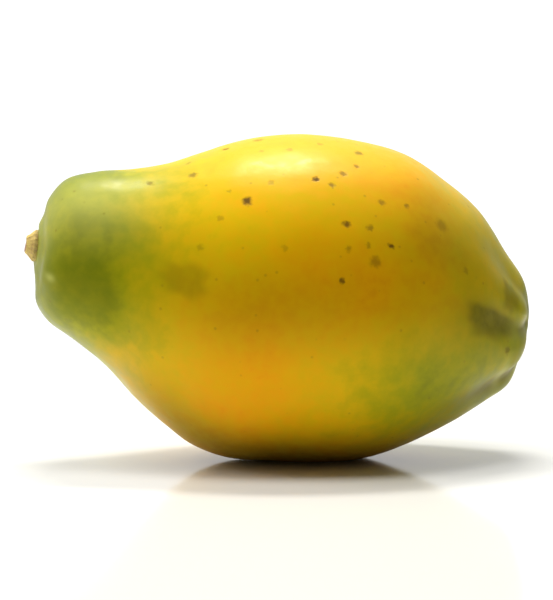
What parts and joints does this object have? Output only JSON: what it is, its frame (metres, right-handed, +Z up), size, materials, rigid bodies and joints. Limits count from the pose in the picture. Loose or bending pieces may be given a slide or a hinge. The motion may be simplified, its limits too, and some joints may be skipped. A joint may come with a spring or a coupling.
{
  "type": "papaya",
  "caption": "Whole ripening papaya lying on its side, pear-shaped with a narrow green neck, seams that meet at the blossom end and a cut stem stub.",
  "frame": {"origin": "middle of the small flat spot that the fruit rests on, in the plane of the surface below it", "axes": "+X towards the blossom end and -X towards the neck and stem stub, +Z up from the surface, -Y the side that the picture shows"},
  "size_m": [0.1618, 0.1012, 0.1036],
  "materials": {
    "skin": "waxy, half-gloss papaya skin, green at the neck and yellow to orange on the body",
    "stem": "dry, matt, tan side with a brown cut face"
  },
  "bodies": {
    "root": {"fruit": "skin", "stem_stub": "stem"}
  },
  "joints": []
}
